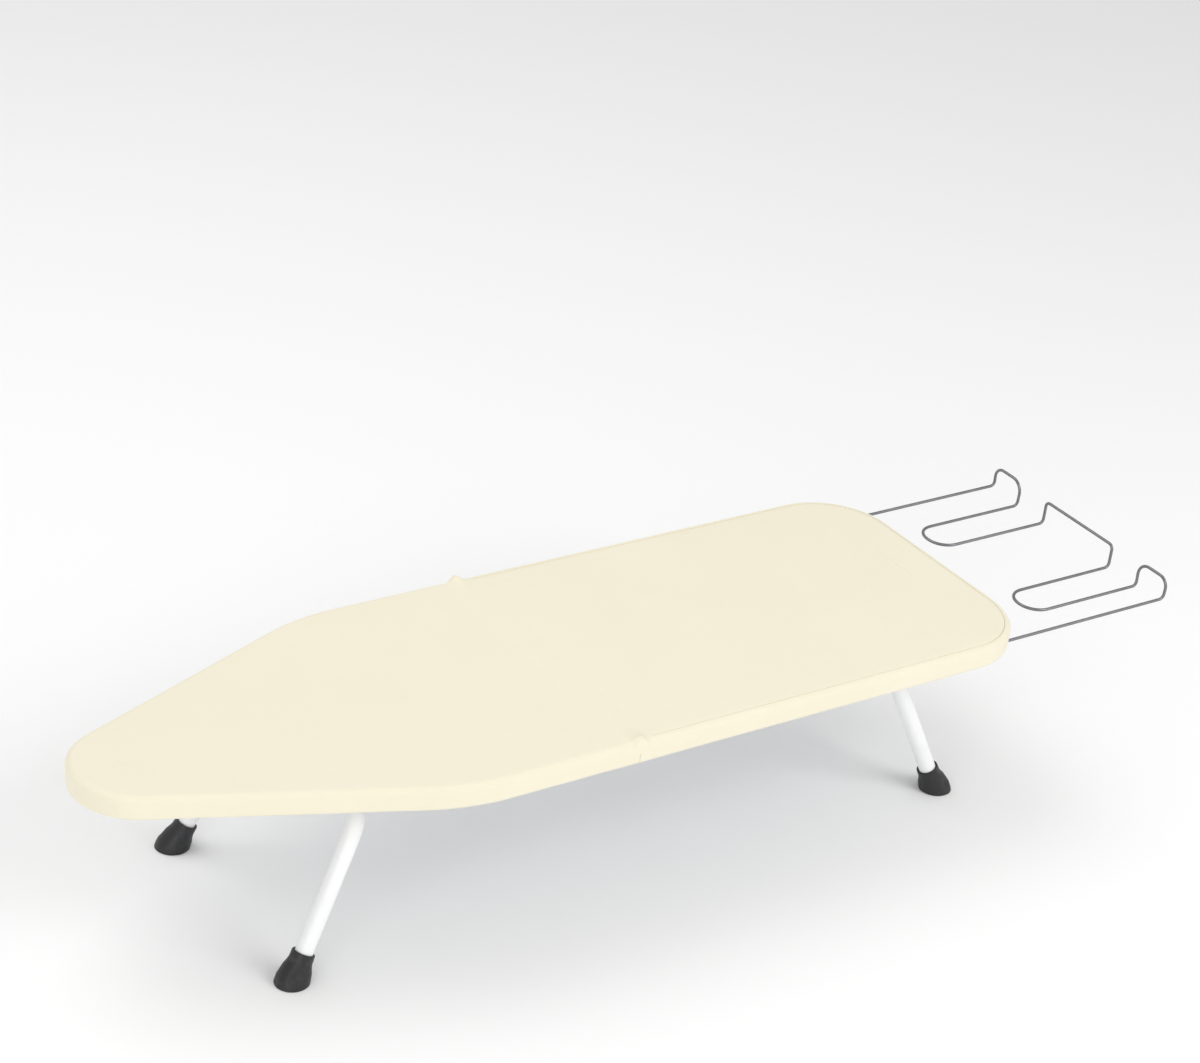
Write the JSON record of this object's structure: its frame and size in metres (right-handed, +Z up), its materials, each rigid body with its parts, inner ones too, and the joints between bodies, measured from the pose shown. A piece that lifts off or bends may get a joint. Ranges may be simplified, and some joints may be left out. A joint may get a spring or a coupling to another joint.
{
  "type": "folding table-top ironing board",
  "caption": "Short ironing board that folds in half, with folding leg loops, a pull-out wire iron rest and a storage latch.",
  "frame": {"origin": "on the floor, below the middle of the length and width of the open board with the iron rest pulled out", "axes": "+X along the board from the nose to the iron rest, +Y to the left seen from the nose, +Z up"},
  "size_m": [1.0885, 0.305, 0.1836],
  "materials": {
    "cream_cotton": "plain woven cotton cover",
    "grey_felt": "matt felt pad",
    "white_paint": "semi-gloss powder coat",
    "white_mesh": "powder coated expanded metal",
    "steel_wire": "plain drawn wire",
    "zinc_rivet": "zinc plated",
    "black_rubber": "moulded",
    "black_plastic": "moulded"
  },
  "bodies": {
    "rear_board": {"hinge_pin_left": "zinc_rivet", "hinge_pin_right": "zinc_rivet", "latch_bracket": "white_paint", "rear_bar_left": "white_paint", "rear_bar_right": "white_paint", "rear_bracket_rivet_1": "zinc_rivet", "rear_bracket_rivet_2": "zinc_rivet", "rear_bracket_rivet_3": "zinc_rivet", "rear_bracket_rivet_4": "zinc_rivet", "rear_cover": "cream_cotton", "rear_crossbar": "white_paint", "rear_deck_mesh": "white_mesh", "rear_frame_tube": "white_paint", "rear_hinge_plate_left": "white_paint", "rear_hinge_plate_right": "white_paint", "rear_leg_bracket": "white_paint", "rear_pad": "grey_felt", "rest_guide_left": "white_paint", "rest_guide_right": "white_paint"},
    "nose_board": {"front_bracket_rivet_1": "zinc_rivet", "front_bracket_rivet_2": "zinc_rivet", "front_bracket_rivet_3": "zinc_rivet", "front_bracket_rivet_4": "zinc_rivet", "front_leg_bracket": "white_paint", "lock_sleeve_stud_left": "zinc_rivet", "lock_sleeve_stud_right": "zinc_rivet", "nose_bar_left": "white_paint", "nose_bar_right": "white_paint", "nose_cover": "cream_cotton", "nose_crossbar": "white_paint", "nose_deck_mesh": "white_mesh", "nose_frame_tube": "white_paint", "nose_hinge_plate_left": "white_paint", "nose_hinge_plate_right": "white_paint", "nose_pad": "grey_felt"},
    "front_legs": {"front_foot_left": "black_rubber", "front_foot_right": "black_rubber", "front_leg_tube": "white_paint"},
    "rear_legs": {"rear_foot_left": "black_rubber", "rear_foot_right": "black_rubber", "rear_leg_tube": "white_paint"},
    "iron_rest": {"iron_rest_wire": "steel_wire"},
    "latch": {"latch_bail_wire": "steel_wire", "latch_clip": "black_plastic"},
    "lock_sleeve_left": {"lock_sleeve_left": "white_paint"},
    "lock_sleeve_right": {"lock_sleeve_right": "white_paint"}
  },
  "joints": [
    {"name": "fold_hinge", "type": "hinge", "parent": "rear_board", "child": "nose_board", "pos_m": [-0.09125, 0, 0.1806], "axis": [0, 1, 0], "range_deg": [0, 179.9]},
    {"name": "front_leg_pivot", "type": "hinge", "parent": "nose_board", "child": "front_legs", "pos_m": [-0.31925, 0, 0.15585], "axis": [0, -1, 0], "range_deg": [0, 115]},
    {"name": "rear_leg_pivot", "type": "hinge", "parent": "rear_board", "child": "rear_legs", "pos_m": [0.22975, 0, 0.15585], "axis": [0, 1, 0], "range_deg": [0, 115]},
    {"name": "iron_rest_slide", "type": "slide", "parent": "rear_board", "child": "iron_rest", "axis": [-1, 0, 0], "range_m": [0, 0.164]},
    {"name": "latch_swing", "type": "hinge", "parent": "rear_board", "child": "latch", "pos_m": [0.31975, 0.031, 0.1564], "axis": [0, -1, 0], "range_deg": [-5, 193]},
    {"name": "lock_sleeve_left_slide", "type": "slide", "parent": "nose_board", "child": "lock_sleeve_left", "axis": [1, 0, 0], "range_m": [0, 0.027]},
    {"name": "lock_sleeve_right_slide", "type": "slide", "parent": "nose_board", "child": "lock_sleeve_right", "axis": [1, 0, 0], "range_m": [0, 0.027]}
  ]
}
